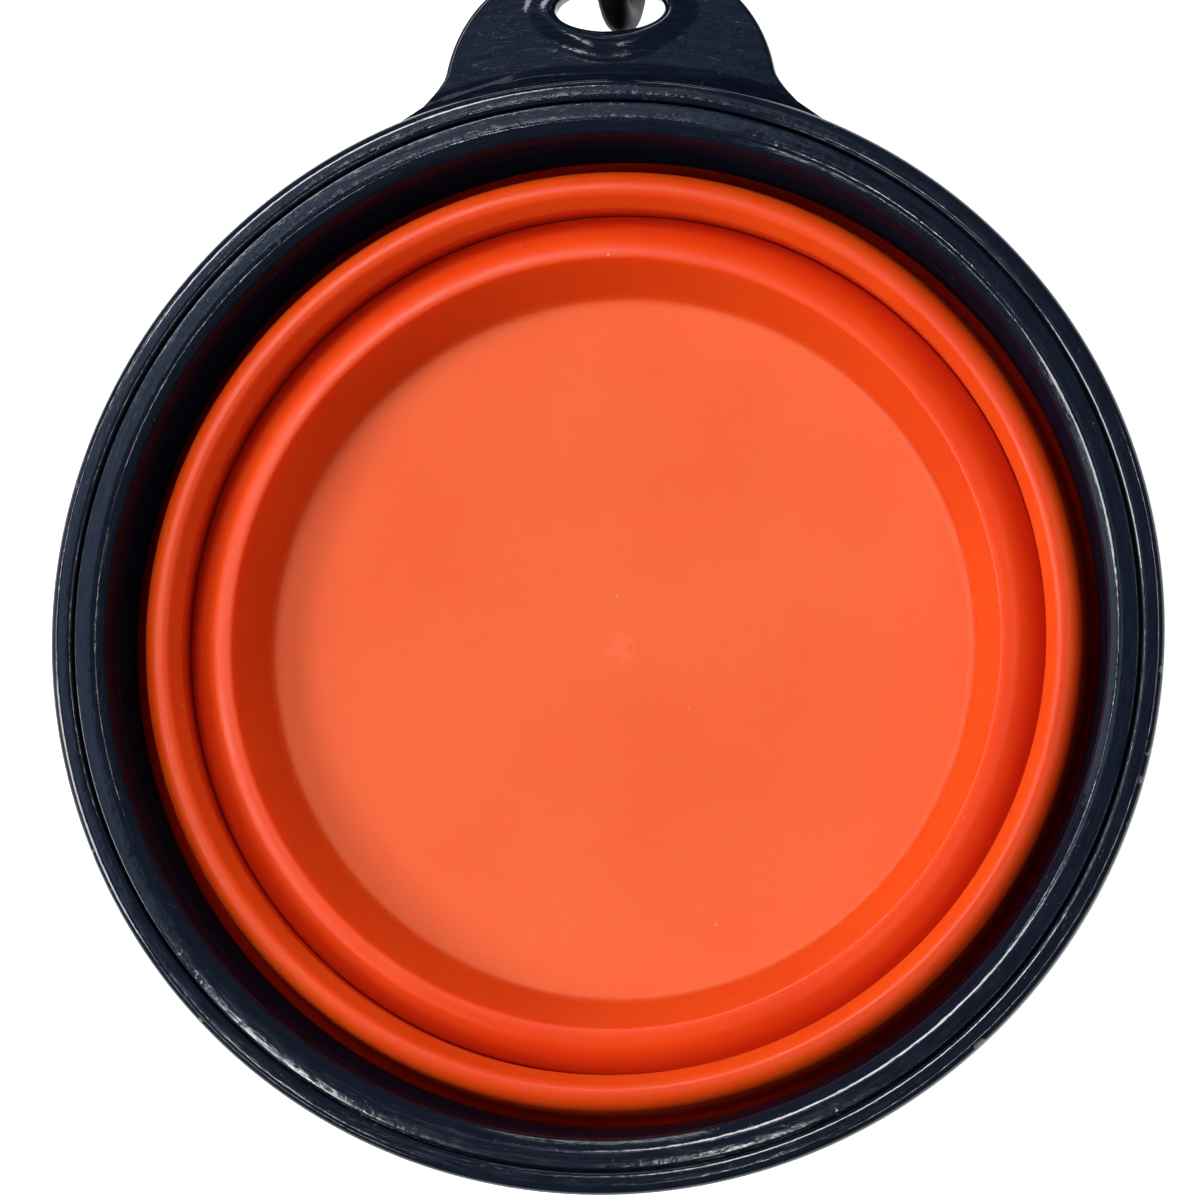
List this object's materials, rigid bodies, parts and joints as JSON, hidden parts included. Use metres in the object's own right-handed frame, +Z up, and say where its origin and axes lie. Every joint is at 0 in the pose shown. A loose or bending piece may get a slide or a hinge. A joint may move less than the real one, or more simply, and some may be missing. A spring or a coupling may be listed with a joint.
{
  "type": "collapsible pet bowl",
  "caption": "Soft stepped travel bowl that folds flat into a hard round rim, with a slotted hanger tab and a sprung-gate carabiner to clip it on.",
  "frame": {"origin": "centre of the flat underside of the base, which is the floor that the folded bowl stands on", "axes": "+Z up along the bowl's axis, +Y towards the hanger tab, +X to the right when the tab points away"},
  "size_m": [0.13, 0.2022, 0.0322],
  "materials": {
    "rim_plastic": "glossy navy-black moulded plastic with fine scuffs",
    "bowl_silicone": "satin orange silicone, frosted on the base",
    "carabiner_metal": "black anodised rod",
    "pin_steel": "bright steel"
  },
  "bodies": {
    "base_cup": {"bowl_base_cup": "bowl_silicone"},
    "upper_ring": {"bowl_upper_ring": "bowl_silicone", "lower_fold_wall": "bowl_silicone"},
    "rim": {"rim_frame": "rim_plastic", "rim_clamp_ring": "rim_plastic", "bowl_flange": "bowl_silicone", "upper_fold_wall": "bowl_silicone"},
    "carabiner": {"carabiner_body": "carabiner_metal", "gate_pivot_pin": "pin_steel"},
    "gate": {"carabiner_gate": "carabiner_metal", "gate_latch_pin": "pin_steel", "gate_spring": "pin_steel", "gate_plunger": "pin_steel"}
  },
  "joints": [
    {"name": "lower_fold", "type": "slide", "parent": "base_cup", "child": "upper_ring", "axis": [0, 0, 1], "range_m": [0, 0.015], "deforming": ["lower_fold_wall"]},
    {"name": "upper_fold", "type": "slide", "parent": "upper_ring", "child": "rim", "axis": [0, 0, 1], "range_m": [0, 0.015], "deforming": ["upper_fold_wall"]},
    {"name": "carabiner_swing", "type": "hinge", "parent": "rim", "child": "carabiner", "pos_m": [0.0008, 0.08732, 0.0162], "axis": [1, 0, 0], "range_deg": [-75, 75]},
    {"name": "gate_open", "type": "hinge", "parent": "carabiner", "child": "gate", "pos_m": [0.0008, 0.09052, 0.0304], "axis": [-1, 0, 0], "range_deg": [0, 30], "stiffness_Nm_per_rad": 0.01, "springref_deg": -20.05}
  ]
}
